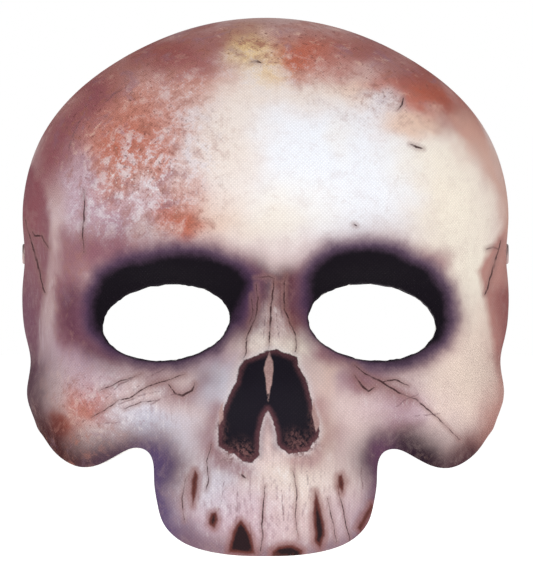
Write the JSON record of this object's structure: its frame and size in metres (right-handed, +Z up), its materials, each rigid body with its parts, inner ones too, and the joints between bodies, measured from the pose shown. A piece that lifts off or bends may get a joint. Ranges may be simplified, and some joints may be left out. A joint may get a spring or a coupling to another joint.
{
  "type": "skull half mask",
  "caption": "Moulded fabric-covered foam skull half mask, forehead to upper jaw, with eye openings and a riveted elastic head strap.",
  "frame": {"origin": "middle of the face seat: midway between the eye openings, on the lining over the bridge of the wearer's nose", "axes": "+Z up to the crown, -Y the way the mask looks, +X to the right as seen from the front"},
  "size_m": [0.171, 0.1569, 0.1878],
  "materials": {
    "printed_fabric": "printed woven polyester, matt with a slight sheen",
    "foam": "white closed-cell EVA foam, matt",
    "lining_felt": "off-white needled non-woven, matt",
    "elastic_webbing": "black braided elastic, matt",
    "rivet_metal": "steel lacquered to match the print, satin",
    "washer_metal": "plain zinc-plated steel, satin"
  },
  "bodies": {
    "shell": {"printed_skin": "printed_fabric", "foam_core": "foam", "inner_lining": "lining_felt", "left_rivet": "rivet_metal", "right_rivet": "rivet_metal", "left_rivet_washer": "washer_metal", "right_rivet_washer": "washer_metal"},
    "strap": {"elastic_strap": "elastic_webbing"}
  },
  "joints": [
    {"name": "strap_swing", "type": "hinge", "parent": "shell", "child": "strap", "pos_m": [0, 0.05962, 0.024], "axis": [1, 0, 0], "range_deg": [-80, 45]}
  ]
}
